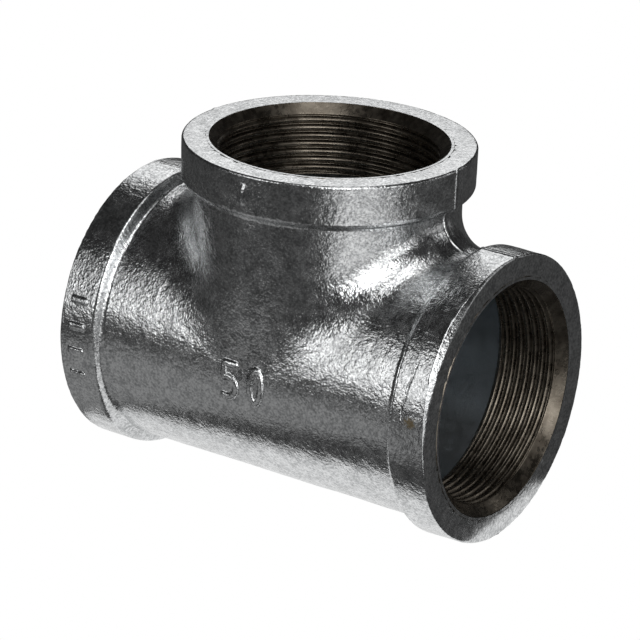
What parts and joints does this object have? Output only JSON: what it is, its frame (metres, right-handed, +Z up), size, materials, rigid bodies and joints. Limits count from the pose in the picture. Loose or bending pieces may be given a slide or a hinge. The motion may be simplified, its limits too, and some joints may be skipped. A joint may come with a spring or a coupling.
{
  "type": "pipe tee fitting",
  "caption": "Galvanised malleable-iron equal tee with a flat band and a female pipe thread at each port.",
  "frame": {"origin": "on the surface that the two run bands rest on, straight under the crossing of the run and branch axes", "axes": "+Z up along the branch, +X along the run, -Y towards the side with the cast size numeral"},
  "size_m": [0.1142, 0.077, 0.0953],
  "materials": {
    "galvanised_iron": "satin",
    "bare_thread_iron": "satin"
  },
  "bodies": {
    "root": {"tee_casting": "galvanised_iron", "run_thread_left": "bare_thread_iron", "run_thread_right": "bare_thread_iron", "branch_thread": "bare_thread_iron"}
  },
  "joints": []
}
